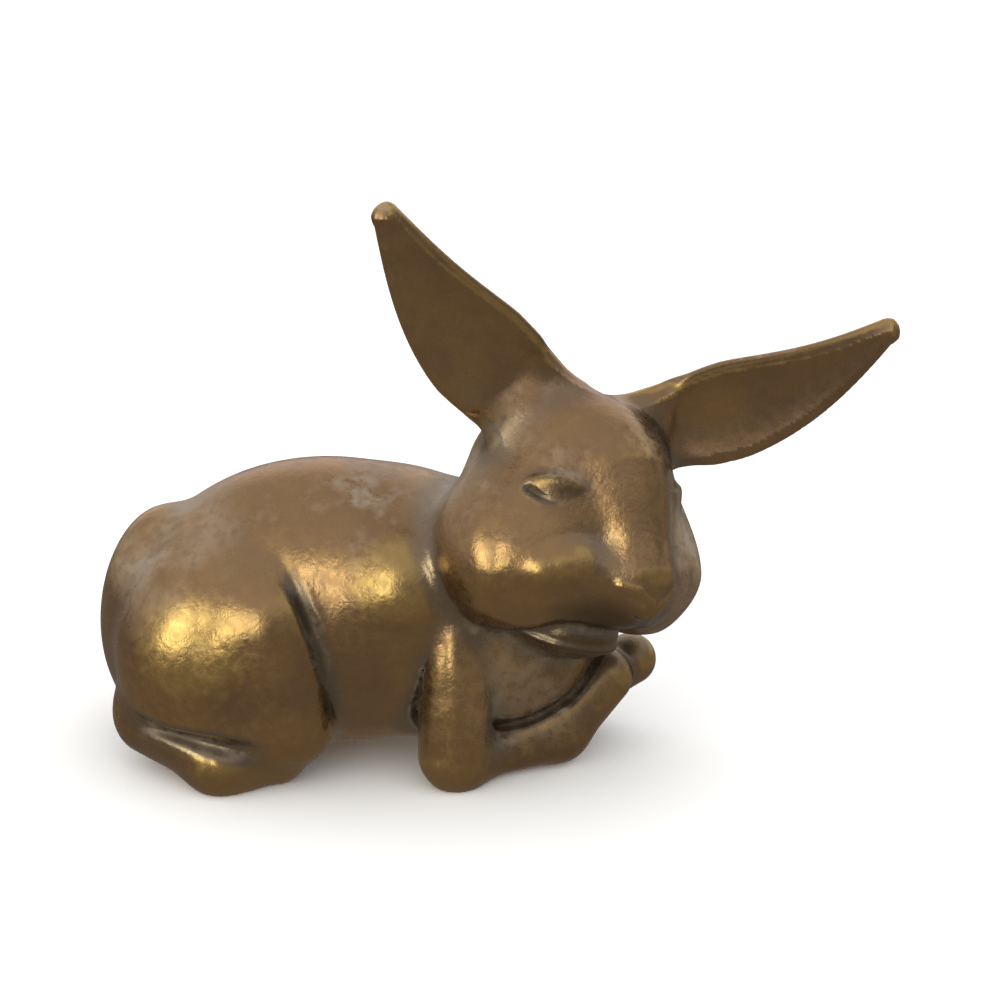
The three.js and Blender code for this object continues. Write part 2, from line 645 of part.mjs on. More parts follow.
function solid(geometry) {
  const bare = geometry.clone();
  bare.deleteAttribute('normal');
  bare.deleteAttribute('uv');
  const merged = mergeVertices(bare, SAME_POINT);
  const mesh = new wasm.Mesh({
    numProp: 3,
    vertProperties: new Float32Array(merged.attributes.position.array),
    triVerts: new Uint32Array(merged.index.array),
  });
  return new wasm.Manifold(mesh);
}

function geometryOf(cut) {
  const mesh = cut.getMesh();
  const geometry = new THREE.BufferGeometry();
  geometry.setAttribute('position', new THREE.BufferAttribute(mesh.vertProperties, 3));
  geometry.setIndex(new THREE.BufferAttribute(mesh.triVerts, 1));
  return geometry;
}

// Dowels

// Place on the joint face between two castings, on the line from one point to another,
// found by halving the line again and again
const HALVINGS = 40;

function jointPoint(from, to, near, far) {
  let [start, end] = [0, 1];
  const p = vec();
  for (let halving = 0; halving < HALVINGS; halving += 1) {
    const middle = (start + end) / 2;
    p.lerpVectors(from, to, middle);
    if (castings[near].form.distance(p) < castings[far].form.distance(p)) start = middle;
    else end = middle;
  }
  return p.clone();
}

// Round rod along its own Y, with its end corners taken off
function rod(diameter, length, chamfer) {
  const [radius, half] = [diameter / 2, length / 2];
  const profile = [
    [0, -half], [radius - chamfer, -half], [radius, -half + chamfer],
    [radius, half - chamfer], [radius - chamfer, half], [0, half],
  ].map(([x, y]) => new THREE.Vector2(x, y));
  return new THREE.LatheGeometry(profile, DOWEL_SIDES);
}

function dowel(name, near, far, from, to, diameter, length) {
  const direction = to.clone().sub(from).normalize();
  const place = new THREE.Object3D();
  place.position.copy(jointPoint(from, to, near, far));
  place.quaternion.setFromUnitVectors(vec(0, 1, 0), direction);
  place.updateMatrix();
  const wide = diameter + 2 * DOWEL_CLEARANCE;
  const long = length + 2 * DOWEL_CLEARANCE;
  const hole = solid(rod(wide, long, DOWEL_CHAMFER).applyMatrix4(place.matrix));
  return { name, near, far, place, hole, shape: rod(diameter, length, DOWEL_CHAMFER) };
}

const earRoot = (set, side) => vec().setFromMatrixPosition(earPose(set, side));
const armMiddle = (side) => shoulderPoint(side).lerp(elbowPoint(side), 0.5);
const spine = (point) => vec(point.x, 0, point.z);
const skullWorld = skullCentre.clone().applyMatrix4(headPose);

const dowels = [
  dowel('neck_dowel', 'torso', 'head', neckBase, headCentre, NECK_DOWEL_DIAMETER, NECK_DOWEL_LENGTH),
  dowel('tail_dowel', 'torso', 'tail', rumpCentre, tailCentre, TAIL_DOWEL_DIAMETER, TAIL_DOWEL_LENGTH),
];
for (const [label, side, ear] of [['right', -1, RIGHT_EAR], ['left', 1, LEFT_EAR]]) {
  const arm = armMiddle(side);
  const hip = haunchCentre(side);
  dowels.push(
    dowel(`${label}_ear_dowel`, 'head', `${label}_ear`, skullWorld, earRoot(ear, side),
      EAR_DOWEL_DIAMETER, EAR_DOWEL_LENGTH),
    dowel(`${label}_shoulder_dowel`, 'torso', `${label}_foreleg`, spine(arm), arm,
      SHOULDER_DOWEL_DIAMETER, SHOULDER_DOWEL_LENGTH),
    dowel(`${label}_hip_dowel`, 'torso', `${label}_hind_leg`, spine(hip), hip,
      HIP_DOWEL_DIAMETER, HIP_DOWEL_LENGTH));
}

// The ornament

const GROUND_SPAN = 1000;
const GROUND_DEPTH = 100;
const rabbit = new THREE.Group();
const ground = new THREE.BoxGeometry(GROUND_SPAN, GROUND_SPAN, GROUND_DEPTH);
const floor = solid(ground.translate(0, 0, -GROUND_DEPTH / 2));
for (const name of Object.keys(castings)) {
  let metal = solid(skin(castings[name])).subtract(floor);
  for (const pin of dowels) {
    if (pin.near === name || pin.far === name) metal = metal.subtract(pin.hole);
  }
  const mesh = new THREE.Mesh(geometryOf(metal), new THREE.MeshStandardMaterial(BRASS));
  mesh.name = name;
  rabbit.add(mesh);
}
for (const pin of dowels) {
  const mesh = new THREE.Mesh(pin.shape, new THREE.MeshStandardMaterial(DOWEL_BRASS));
  mesh.name = pin.name;
  mesh.position.copy(pin.place.position);
  mesh.quaternion.copy(pin.place.quaternion);
  rabbit.add(mesh);
}

// The origin is on the ground under the middle of the ornament's outline
const outline = new THREE.Box3().setFromObject(rabbit, true);
const middle = outline.getCenter(vec());
rabbit.position.set(-middle.x, -middle.y, -outline.min.z);

export default rabbit;
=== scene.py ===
import math

import bpy
import numpy as np
from mathutils import Matrix, Vector


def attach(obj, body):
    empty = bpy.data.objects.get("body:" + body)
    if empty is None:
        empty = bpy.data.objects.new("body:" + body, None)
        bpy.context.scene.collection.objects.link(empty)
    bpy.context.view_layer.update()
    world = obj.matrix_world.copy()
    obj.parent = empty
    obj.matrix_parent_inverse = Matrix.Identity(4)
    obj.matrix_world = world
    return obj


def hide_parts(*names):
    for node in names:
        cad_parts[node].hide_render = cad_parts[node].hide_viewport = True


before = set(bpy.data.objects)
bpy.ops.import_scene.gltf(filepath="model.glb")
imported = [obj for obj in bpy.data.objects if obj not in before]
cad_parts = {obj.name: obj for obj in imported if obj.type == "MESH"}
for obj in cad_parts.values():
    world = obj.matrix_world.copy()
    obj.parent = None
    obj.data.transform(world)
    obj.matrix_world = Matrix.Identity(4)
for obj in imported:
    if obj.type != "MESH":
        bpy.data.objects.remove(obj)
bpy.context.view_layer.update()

# Torso: a solid brass casting, the barrel of the body with the rump behind, ribs and chest in front
# and the neck that carries the head. Every other casting is pinned to it or to the head. Like them
# it is modelled in millimetres, as a soft form that gives a point's distance to its skin.

barrel_centre = (0, 0, 20.8)
barrel_size = (53, 34.8, 40)
rump_x = -14.7
rump_centre = (rump_x, 0, 16)
rump_size = (27.6, 37, 28.6)
rump_fillet = 6
ribs_centre = (11, 0, 27)
ribs_size = (25, 33.6, 22)
ribs_fillet = 4
chest_x = 21.5
chest_centre = (chest_x, 0, 17.3)
chest_size = (31, 26.4, 33)
chest_fillet = 6
neck_root = (chest_x, 0, 24)
neck_root_width = 23
neck_top_width = 20
neck_fillet = 6


def spot(x, y, z):
    return np.array((x, y, z), np.float32)


def ellipsoid(p, centre, size):
    half = np.array(size, np.float32)[:, None] / 2
    offset = (p - np.array(centre, np.float32)[:, None]) / half
    away = np.sqrt((offset * offset).sum(0))
    offset /= half
    slope = np.sqrt((offset * offset).sum(0)) + 1e-6
    return away * (away - 1) / slope


def limb(p, start, end, start_width, end_width):
    start = np.array(start, np.float32)
    run = np.array(end, np.float32) - start
    offset = p - start[:, None]
    along = np.clip(run @ offset / (run @ run), 0, 1)
    offset -= run[:, None] * along
    width = start_width + (end_width - start_width) * along
    return np.sqrt((offset * offset).sum(0)) - width / 2


def merge(a, b, reach):
    overlap = np.maximum(reach - np.abs(a - b), 0)
    return np.minimum(a, b) - overlap * overlap / (4 * reach)


head_at = spot(33.5, -5.5, 35)


def torso_form(p):
    barrel = ellipsoid(p, barrel_centre, barrel_size)
    rump = ellipsoid(p, rump_centre, rump_size)
    ribs = ellipsoid(p, ribs_centre, ribs_size)
    chest = ellipsoid(p, chest_centre, chest_size)
    neck = limb(p, neck_root, head_at, neck_root_width, neck_top_width)
    trunk = merge(merge(barrel, rump, rump_fillet), ribs, ribs_fillet)
    return merge(merge(trunk, chest, chest_fillet), neck, neck_fillet)


# A mould says how a casting is poured: its form, the fillet that joins it to the castings before it,
# the castings that it touches, the box that it lies in and the cell of the net that skins it.
moulds = {}
forelegs = ("right_foreleg", "left_foreleg")
hind_legs = ("right_hind_leg", "left_hind_leg")
moulds["torso"] = {
    "form": torso_form, "fillet": 1, "touches": ("head", "tail") + hind_legs + forelegs,
    "low": (-34, -21, -1), "high": (40, 21, 45), "cell": 0.6,
}

# Head: a solid brass casting with skull, full cheeks, nose bridge, whisker pads, a lip under the
# muzzle and closed eyelids. It is turned to the rabbit's right, tilted, and pinned to the neck.
# Its places and sizes are in its own frame, with x to the front of the face and z to the crown.

head_turn = -54
head_nod = -4
head_tilt = 15
face_skew = 0.14
skull_centre = spot(-2, 0, 4)
skull_size = spot(28, 26.4, 26.8)
cheek_centre = (1, 10.4, -4.9)
cheek_size = (22, 17, 19)
cheek_fillet = 6
muzzle_centre = (7.2, 0, -5)
muzzle_size = (18.4, 20, 13)
muzzle_fillet = 4
pad_centre = (9.6, 6.4, -4.2)
pad_size = (13, 12, 8)
pad_fillet = 3
temple_facing = (0.72, 0.53, 0.44)
temple_away = 13.9
temple_softness = 3
snout_facing = (0.86, 0.44, -0.26)
snout_away = 16
snout_softness = 1.5
bridge_top = (5.2, 0, 9.6)
bridge_end = (13.8, 0, -1.8)
bridge_top_width = 10.4
bridge_end_width = 8
bridge_fillet = 3
crest_line = ((9.6, -11.8, -3.8), (10.4, -10.2, -2.6), (10.9, -8.2, -1.4))
crest_width = 2.8
crest_fillet = 2.5
nose_centre = (15.4, 0, -4.6)
nose_size = (5.4, 5.4, 4.6)
nose_fillet = 1
nostril_line = ((15.7, 4.2, -2.9), (17, 2.5, -3), (17.5, 1, -4.2), (16.8, 0.5, -6.4))
nostril_width = 1.2
nostril_fillet = 0.8
jaw_centre = (5.3, -1.6, -12.6)
jaw_size = (13, 13.6, 8.4)
jaw_fillet = 1
parting_line = ((18, 0, -7), (16.6, 0, -8.6), (15, 0, -10.4))
parting_width = 0.9
parting_softness = 0.5
lip_level = -14
lip_bead = 0.45
lip_fillet = 0.7
eye_at = (6.4, 10.2, 6.8)
eye_turn = 51
eye_nod = 27
eye_tilt = 18
lid_at = (-1.1, 0.5, 0.2)
lid_size = (2, 7, 3.8)
lid_nod = -46
lid_fillet = 1
fold_ends = (3.5, -3)
fold_points = 9
fold_width = 0.9
fold_softness = 0.5
fold_middle = (0.3, -1.9)
fold_bow = (-0.03, 0.13)
# Painted shade on the face: its width and reach along the eye's fold, and its strength under the muzzle, on
# the chin and round the lid.
fold_shade_width = 0.8
fold_shade_reach = 0.5
muzzle_shade = 0.9
chin_shade = 0.6
lid_shade = 0.5


def carve(a, tool, reach):
    return -merge(-a, tool, reach)


def trim(a, b, reach):
    return -merge(-a, -b, reach)


def plane(p, facing, away):
    facing = np.array(facing, np.float32)
    return facing @ p / np.linalg.norm(facing) - np.float32(away)


def chain(p, points, width):
    least = limb(p, points[0], points[1], width, width)
    for start, end in zip(points[1:-1], points[2:]):
        least = np.minimum(least, limb(p, start, end, width, width))
    return least


def turned(turn, nod, tilt):
    about_up = Matrix.Rotation(math.radians(turn), 3, "Z")
    about_side = Matrix.Rotation(math.radians(-nod), 3, "Y")
    about_front = Matrix.Rotation(math.radians(-tilt), 3, "X")
    return np.array(about_up @ about_side @ about_front, np.float32)


def seen_from(p, at, axes):
    return axes.T @ (p - np.array(at, np.float32)[:, None])


def folded(p):
    return np.stack((p[0], np.abs(p[1]), p[2]))


head_axes = turned(head_turn, head_nod, head_tilt)
eye_axes = turned(eye_turn, eye_nod, eye_tilt)
lid_axes = turned(0, lid_nod, 0)
eye_fold = [(fold_middle[0] + fold_bow[0] * y * y, y, fold_middle[1] + fold_bow[1] * y * y)
            for y in np.linspace(*fold_ends, fold_points)]


def face_frame(p):
    q = seen_from(p, head_at, head_axes)
    q[1] -= face_skew * q[0]
    return q, folded(q)


def head_form(p):
    q, side = face_frame(p)
    face = ellipsoid(q, skull_centre, skull_size)
    face = merge(face, ellipsoid(side, cheek_centre, cheek_size), cheek_fillet)
    face = merge(face, ellipsoid(q, muzzle_centre, muzzle_size), muzzle_fillet)
    face = merge(face, ellipsoid(side, pad_centre, pad_size), pad_fillet)
    face = trim(face, plane(side, temple_facing, temple_away), temple_softness)
    face = trim(face, plane(side, snout_facing, snout_away), snout_softness)
    face = merge(face, chain(q, crest_line, crest_width), crest_fillet)
    bridge = limb(q, bridge_top, bridge_end, bridge_top_width, bridge_end_width)
    face = merge(face, bridge, bridge_fillet)
    face = merge(face, ellipsoid(q, nose_centre, nose_size), nose_fillet)
    face = merge(face, chain(side, nostril_line, nostril_width), nostril_fillet)
    jaw = ellipsoid(q, jaw_centre, jaw_size)
    face = merge(face, jaw, jaw_fillet)
    face = carve(face, chain(q, parting_line, parting_width), parting_softness)
    face = merge(face, np.hypot(jaw, q[2] - lip_level) - lip_bead, lip_fillet)
    eye = seen_from(side, eye_at, eye_axes)
    lid = ellipsoid(seen_from(eye, lid_at, lid_axes), (0, 0, 0), lid_size)
    face = merge(face, lid, lid_fillet)
    return carve(face, chain(eye, eye_fold, fold_width), fold_softness)


def patch(p, centre, reach, middle):
    away = (p - np.array(centre, np.float32)[:, None]) / np.array(reach, np.float32)[:, None]
    return np.clip(middle - np.sqrt((away * away).sum(0)), 0, 1)


# Painted shade darkens the face under the muzzle, on the chin and round the closed eye and its fold.
def head_painted_shade(p):
    q, side = face_frame(p)
    eye = seen_from(side, eye_at, eye_axes)
    muzzle = patch(side, centre=(13, 3, -9.6), reach=(8.5, 9.5, 7), middle=1)
    chin = patch(q, centre=(8, -2, -14.4), reach=(7, 8, 3.6), middle=1.6)
    lid = patch(eye, centre=(0, 0, 0), reach=(6, 6, 6), middle=1)
    fold = np.clip(1 - chain(eye, eye_fold, fold_shade_width) / fold_shade_reach, 0, 1)
    return np.maximum.reduce((muzzle_shade * muzzle, chin_shade * chin, fold, lid_shade * lid))


moulds["head"] = {
    "form": head_form, "fillet": 3, "touches": ("torso", "right_ear", "left_ear") + forelegs,
    "low": (14, -26, 14), "high": (54, 14, 56), "cell": 0.4, "painted_shade": head_painted_shade,
}

# Ears: two leaf-shaped brass castings, dished in front, with rounded rims and a rounded tip. They
# are made alike but set at different angles, and each is pinned into the side of the skull's crown.
# Along an ear, 0 is the root and 1 the tip.

ear_tip_width = 3.8
ear_wall = 2
ear_rim = 2.4
ear_edge_roll = 2.1
ear_dish = 2.6
ear_widest_at = 0.36
ear_taper_power = 1.35
ear_bow_power = 1.25
ear_dish_start = 0.08
ear_dish_rim_start = 0.07
ear_dish_run = 0.1
ear_dish_fade_power = 0.7
ear_tip_turn_at = 0.75
ear_boss_size = (8, 7.6, 5)
ear_boss_fillet = 4
edge_burnish_and_highlight_start = 0.3
edge_burnish_and_highlight_run = 6


def ear_axes(side, backward, outward, rake, splay, opened):
    to_root = spot(-math.tan(math.radians(backward)), side * math.tan(math.radians(outward)), 1)
    to_root /= np.linalg.norm(to_root)
    root = skull_centre + to_root * (1 / np.linalg.norm(to_root / (skull_size / 2)) - 1)
    rake, splay = math.radians(rake), math.radians(splay)
    along = spot(-math.sin(rake), side * math.cos(rake) * math.sin(splay),
                 math.cos(rake) * math.cos(splay))
    facing = spot(1, side * math.tan(math.radians(opened)), 0)
    facing -= along * (facing @ along)
    facing /= np.linalg.norm(facing)
    local = np.stack((along, -side * np.cross(facing, along), facing), 1)
    return head_at + head_axes @ root, head_axes @ local


def leaf_reach(along, root_width, width):
    rise = np.sin(np.minimum(along / ear_widest_at, 1) * math.pi / 2)
    rising = root_width + (width - root_width) * rise
    taper = np.maximum(along - ear_widest_at, 0) / (1 - ear_widest_at)
    tapering = width + (ear_tip_width - width) * taper ** ear_taper_power
    return np.where(along < ear_widest_at, rising, tapering) / 2


def eased(share):
    return share * share * (3 - 2 * share)


def ear_form(p, place, length, root_width, width, bow, droop):
    q = seen_from(p, *place)
    tip = length - ear_tip_width / 2
    rim = ear_rim / 2
    along = np.clip(q[0] / tip, 0, 1)
    reach = leaf_reach(along, root_width, width)
    sideways = q[1] - bow * np.sin(math.pi * along ** ear_bow_power) - droop * (1 - along) ** 4
    across = np.clip(sideways / reach, -1, 1)
    past_root_dish = along - ear_dish_start - ear_dish_rim_start * across * across
    opening = np.clip(past_root_dish / ear_dish_run, 0, 1)
    toward_tip = np.maximum(np.cos(math.pi / 2 * along), 0) ** ear_dish_fade_power
    hollow = ear_dish * eased(opening) * toward_tip
    height = q[2] - hollow * (across * across - 0.5)
    turning = np.clip((along - ear_tip_turn_at) / (1 - ear_tip_turn_at), 0, 1)
    edge_roll = ear_edge_roll + (ear_tip_width / 2 - ear_edge_roll) * eased(turning)
    past_edge = np.abs(sideways) - (reach - edge_roll)
    past_tip = np.maximum(q[0] - tip, 0)
    past_root = -q[0] - rim
    rounded = np.maximum(past_edge, 0) ** 2 + (height * edge_roll / rim) ** 2 + past_tip ** 2
    bead = np.sqrt(rounded) - edge_roll
    plate = np.maximum(np.maximum(np.abs(height) - ear_wall / 2, past_edge), past_tip)
    leaf = merge(np.maximum(plate, past_root), np.maximum(bead, past_root), 2 * rim)
    boss = ellipsoid(q, (0, 0, 0), ear_boss_size)
    return merge(leaf, boss, ear_boss_fillet)


ear_places = {
    "right_ear": ear_axes(side=-1, backward=18.6, outward=36.8, rake=4, splay=52.3, opened=0),
    "left_ear": ear_axes(side=1, backward=6.4, outward=40.2, rake=-13.2, splay=58.4, opened=-21),
}


def right_ear_form(p):
    return ear_form(p, ear_places["right_ear"], length=38.9, root_width=13.1, width=14.9, bow=2, droop=0)


def left_ear_form(p):
    return ear_form(p, ear_places["left_ear"], length=39.7, root_width=10, width=14.3, bow=2.7, droop=2.2)


# Only an ear's inner edge is burnished and carries a painted highlight, so the gold fades out across the
# leaf.
def inner_edge(p, place):
    return np.clip(edge_burnish_and_highlight_start - seen_from(p, *place)[1] / edge_burnish_and_highlight_run, 0, 1)


moulds["right_ear"] = {
    "form": right_ear_form, "fillet": 4, "touches": ("head",),
    "low": (6, -21, 41), "high": (40, 5, 84), "cell": 0.4,
}
moulds["left_ear"] = {
    "form": left_ear_form, "fillet": 3, "touches": ("head",),
    "low": (34, -6, 32), "high": (79, 20, 63), "cell": 0.4,
}

# Forelegs: two brass castings with an upper arm beside the chest, an elbow on the ground and the
# forearm folded in under the chin, the left paw ahead of the right. Each is pinned to the chest.
# Side is -1 for the right one and 1 for the left one.

shoulder_x = 17.6
upper_arm_lean = -9
upper_arm_centre = (shoulder_x + 0.4, 12.6, 14.6)
upper_arm_size = (9.4, 10.4, 30)
elbow_at = (shoulder_x + 0.2, 13.9, 4.2)
above_elbow = (0, -0.6, 6)
above_elbow_width = 8.4
elbow_width = 9.4
forearm_from_elbow = (1.8, -1.2, -1.8)
forearm_root_width = 4.8
paw_taper = 1.6
elbow_fillet = 2
forearm_fillet = 4
wrist_fillet = 1.5


def on_side(place, side):
    return spot(place[0], side * place[1], place[2])


def foreleg_form(p, side, wrist, paw_end, paw_width):
    elbow = on_side(elbow_at, side)
    lean = turned(0, 0, upper_arm_lean * side)
    upper = ellipsoid(seen_from(p, on_side(upper_arm_centre, side), lean), (0, 0, 0), upper_arm_size)
    lower = limb(p, elbow + on_side(above_elbow, side), elbow, above_elbow_width, elbow_width)
    fore = limb(p, elbow + on_side(forearm_from_elbow, side), wrist, forearm_root_width, paw_width)
    paw = limb(p, wrist, paw_end, paw_width, paw_width - paw_taper)
    arm = merge(merge(upper, lower, elbow_fillet), fore, forearm_fillet)
    return merge(arm, paw, wrist_fillet)


def right_foreleg_form(p):
    return foreleg_form(p, side=-1, wrist=(31, -5, 5), paw_end=(37.4, -0.4, 10.6), paw_width=9.8)


def left_foreleg_form(p):
    return foreleg_form(p, side=1, wrist=(35.8, 6.2, 8), paw_end=(41, 4.2, 11.4), paw_width=8.8)


foreleg_fillet = 1.2
moulds["right_foreleg"] = {
    "form": right_foreleg_form, "fillet": foreleg_fillet, "touches": ("torso", "head", "left_foreleg"),
    "low": (10, -21, -1), "high": (44, 6, 37), "cell": 0.5,
}
moulds["left_foreleg"] = {
    "form": left_foreleg_form, "fillet": foreleg_fillet, "touches": ("torso", "head", "right_foreleg"),
    "low": (10, -3, -1), "high": (48, 21, 37), "cell": 0.5,
}

# Hind legs: two brass castings, each a round haunch and knee over a long foot that lies flat on the
# ground. They are pinned to the sides of the rump, with a wide fillet behind and a tight one in
# front, where a line is chased between haunch and flank.

haunch_x = rump_x + 0.6
haunch_centre = (haunch_x + 1.6, 11.6, 16.6)
haunch_size = (29, 19.4, 29.2)
knee_top = (haunch_x + 7.4, 14, 23)
knee_end = (haunch_x + 9.2, 13.8, 9.4)
knee_top_width = 13
knee_end_width = 14.4
shank_centre = (haunch_x + 0.6, 13, 8.6)
shank_size = (23, 14.6, 12)
heel = (haunch_x - 9.4, 9.7, 7)
instep = (haunch_x + 0.8, 16.6, 4.2)
toe = (haunch_x + 8, 14.2, 3.3)
heel_width = 11
instep_width = 9.2
toe_width = 7.4
instep_fillet = 4
knee_fillet = 4
shank_fillet = 3
foot_fillet = 2
hip_fillet_behind = 7
hip_fillet_in_front = 2
hip_fillet_x = -14
hip_fillet_run = 10


def hind_leg_form(p, side):
    q = np.stack((p[0], side * p[1], p[2]))
    haunch = ellipsoid(q, haunch_centre, haunch_size)
    knee = limb(q, knee_top, knee_end, knee_top_width, knee_end_width)
    shank = ellipsoid(q, shank_centre, shank_size)
    hind_foot = limb(q, heel, instep, heel_width, instep_width)
    fore_foot = limb(q, instep, toe, instep_width, toe_width)
    foot = merge(hind_foot, fore_foot, instep_fillet)
    leg = merge(merge(haunch, knee, knee_fillet), shank, shank_fillet)
    return merge(leg, foot, foot_fillet)


def right_hind_leg_form(p):
    return hind_leg_form(p, side=-1)


def left_hind_leg_form(p):
    return hind_leg_form(p, side=1)


def hip_fillet(p):
    forward = np.clip((p[0] - hip_fillet_x) / hip_fillet_run, 0, 1)
    return hip_fillet_behind - (hip_fillet_behind - hip_fillet_in_front) * eased(forward)


moulds["right_hind_leg"] = {
    "form": right_hind_leg_form, "fillet": hip_fillet, "touches": ("torso", "tail", "left_hind_leg"),
    "low": (-31, -25, -1), "high": (3, -1, 36), "cell": 0.5,
}
moulds["left_hind_leg"] = {
    "form": left_hind_leg_form, "fillet": hip_fillet, "touches": ("torso", "tail", "right_hind_leg"),
    "low": (-31, 1, -1), "high": (3, 25, 36), "cell": 0.5,
}

# Tail: a flat brass scut, cast by itself. It leans forward a little and is pinned up against the
# back of the rump.

tail_centre = (rump_x - 8.8, 0, 18.6)
tail_size = (17.2, 19, 30.6)
tail_nod = -6


def tail_form(p):
    return ellipsoid(seen_from(p, tail_centre, turned(0, tail_nod, 0)), (0, 0, 0), tail_size)


moulds["tail"] = {
    "form": tail_form, "fillet": 2.5, "touches": ("torso",) + hind_legs,
    "low": (-36, -11, 5), "high": (-16, 11, 38), "cell": 0.5,
}

# Chased lines: grooves that a maker would cut into the castings with a punch, darkened along them with
# painted shade.
# One runs down in front of each haunch, one lies above each hind foot, and one follows each foreleg
# where it meets the torso, fading upward.

haunch_line = ((-6.6, 14, 36), (-2.8, 16.9, 29), (0.2, 18.4, 22), (2, 17.8, 14.6), (3.4, 16, 8))
haunch_line_width = 1.5
foot_line = ((-27, 16, 9), (-20.5, 18.7, 8.6), (-14.8, 20.8, 8), (-10, 21.2, 7), (-6, 22, 6))
foot_line_width = 0.8
line_softness = 1.2
foot_line_softness = 2.4
arm_front_x = 18
front_seam = 0.3
side_seam = 0.5
front_fade_height = 5
side_fade_height = 34
seam_fade = 2.2
forearm_top = 5
forearm_rise = 0.8
forearm_start_x = 21
forearm_run = 14
line_shade_reach = 0.7
chest_shade = 0.32
zone_middle = 1.5


def chased_lines(p):
    torso = torso_form(p)
    arms = np.minimum(np.hypot(torso, right_foreleg_form(p)), np.hypot(torso, left_foreleg_form(p)))
    in_front = p[0] > arm_front_x
    above = p[2] - forearm_top - forearm_rise * np.clip(p[0] - forearm_start_x, 0, forearm_run)
    faded = np.clip(above / np.where(in_front, front_fade_height, side_fade_height), 0, 1)
    arms = arms - np.where(in_front, front_seam, side_seam) + seam_fade * faded
    return np.minimum(arms, chain(folded(p), haunch_line, haunch_line_width))


def foot_crease(p):
    return chain(folded(p), foot_line, foot_line_width)


# Painted shade along the chased lines and the foot crease, with a weaker patch of it on the chest under the
# chin.
def line_painted_shade(p):
    lines = np.minimum(chased_lines(p), foot_crease(p))
    chest = patch(p, centre=(29, -10, 10), reach=(10, 9, 10), middle=zone_middle)
    return np.maximum(np.clip(1 - lines / line_shade_reach, 0, 1), chest_shade * chest)


# Aged brass: the castings' finish, a brown patina with paler clouds. Handling has worn it gold on the high
# places, and a dusting lies where no hand reaches. Painted light is laid into it too: painted highlights
# as extra gold on the haunches, the flanks and the ears' inner edges, a painted reflection as pale grey on
# the far cheek and, with the dusting, on the rump, and painted shade as darker brown and black in creases
# and grooves, where the body closes in, under the muzzle and chin and round the eyes.

patina = (0.63, 0.40, 0.18, 1)
patina_brown = (0.52, 0.325, 0.17, 1)
patina_dark = (0.42, 0.265, 0.14, 1)
# Painted light in the finish: gold for painted highlights, darker browns and black for painted shade, grey
# for painted reflection, and one flat brown for the brass as seen in its own reflections.
burnish_and_highlight_gold = (0.76, 0.51, 0.19, 1)
sheltered_shade_brown = (0.40, 0.31, 0.21, 1)
painted_shade_brown = (0.20, 0.145, 0.09, 1)
crease_shade_brown = (0.38, 0.31, 0.22, 1)
dust_and_reflection_grey = (0.34, 0.29, 0.22, 1)
deep_shade_black = (0.11, 0.08, 0.05, 1)
brass_in_brass = (0.34, 0.28, 0.21, 1)
handled_burnish_and_highlight = 0.5
# Where a dusting lies: on the rump, the nape, the chest and the near ear root. The pale grey given on the far
# cheek, and part of that on the rump, is a painted reflection.
dust_and_reflection_zones = (
    ("rump", 1, (-22, -3, 32), (10, 17, 7)),
    ("nape", 1, (20, 4, 38), (10, 14, 8)),
    ("chest", 0.3, (28, -12, 14), (8, 8, 8)),
    ("far cheek", 1, (48.6, -6, 33), (4, 5, 7)),
    ("near ear root", 0.5, (26, -9.8, 49.2), (4, 4, 3)),
)
# Places burnished by handling, made more golden still as a painted highlight, on the haunches and flanks.
handled_and_highlight_zones = (
    ("haunch", (-16, 20, 21), (7, 6, 6)),
    ("flank", (11, 16, 30), (6, 5, 5)),
)


def dust_and_reflection_on(p):
    zones = [share * patch(p, centre, reach, zone_middle) for _, share, centre, reach in dust_and_reflection_zones]
    return np.maximum.reduce(zones)


def handled_and_highlit(p):
    side = folded(p)
    return np.maximum.reduce([patch(side, centre, reach, zone_middle) for _, centre, reach in handled_and_highlight_zones])


def put(tree, kind, values, **settings):
    made = tree.nodes.new(kind)
    for name, value in settings.items():
        setattr(made, name, value)
    for key, value in values.items():
        if isinstance(value, bpy.types.NodeSocket):
            tree.links.new(value, made.inputs[key])
        else:
            made.inputs[key].default_value = value
    return made


def ramp(tree, value, low, high, start=0.0, end=1.0):
    values = {"Value": value, "From Min": low, "From Max": high, "To Min": start, "To Max": end}
    return put(tree, "ShaderNodeMapRange", values, interpolation_type="SMOOTHSTEP").outputs["Result"]


def calc(tree, operation, a, b):
    return put(tree, "ShaderNodeMath", {0: a, 1: b}, operation=operation).outputs[0]


def noise(tree, place, scale, detail, roughness):
    values = {"Vector": place, "Scale": scale, "Detail": detail, "Roughness": roughness}
    return put(tree, "ShaderNodeTexNoise", values).outputs["Fac"]


def mixed(tree, share, a, b):
    return put(tree, "ShaderNodeMix", {0: share, 6: a, 7: b}, data_type="RGBA").outputs[2]


skin_group = bpy.data.node_groups.new("aged_brass_skin", "ShaderNodeTree")
skin_marks = ("Crease", "Bulge", "Shelter", "Painted_shade", "Dust_and_reflection")
skin_group.interface.new_socket("Place", in_out="INPUT", socket_type="NodeSocketVector")
skin_group.interface.new_socket("Up", in_out="INPUT", socket_type="NodeSocketFloat")
for mark in skin_marks:
    skin_group.interface.new_socket(mark, in_out="INPUT", socket_type="NodeSocketFloat")
for name, kind in (("Colour", "Color"), ("Metal", "Float"), ("Roughness", "Float"), ("Normal", "Vector")):
    skin_group.interface.new_socket(name, in_out="OUTPUT", socket_type="NodeSocket" + kind)
given = skin_group.nodes.new("NodeGroupInput").outputs
wanted = skin_group.nodes.new("NodeGroupOutput").inputs


def sum_of(a, b):
    return calc(skin_group, "ADD", a, b)


def product(a, b):
    return calc(skin_group, "MULTIPLY", a, b)


def most_of(a, b):
    return calc(skin_group, "MAXIMUM", a, b)


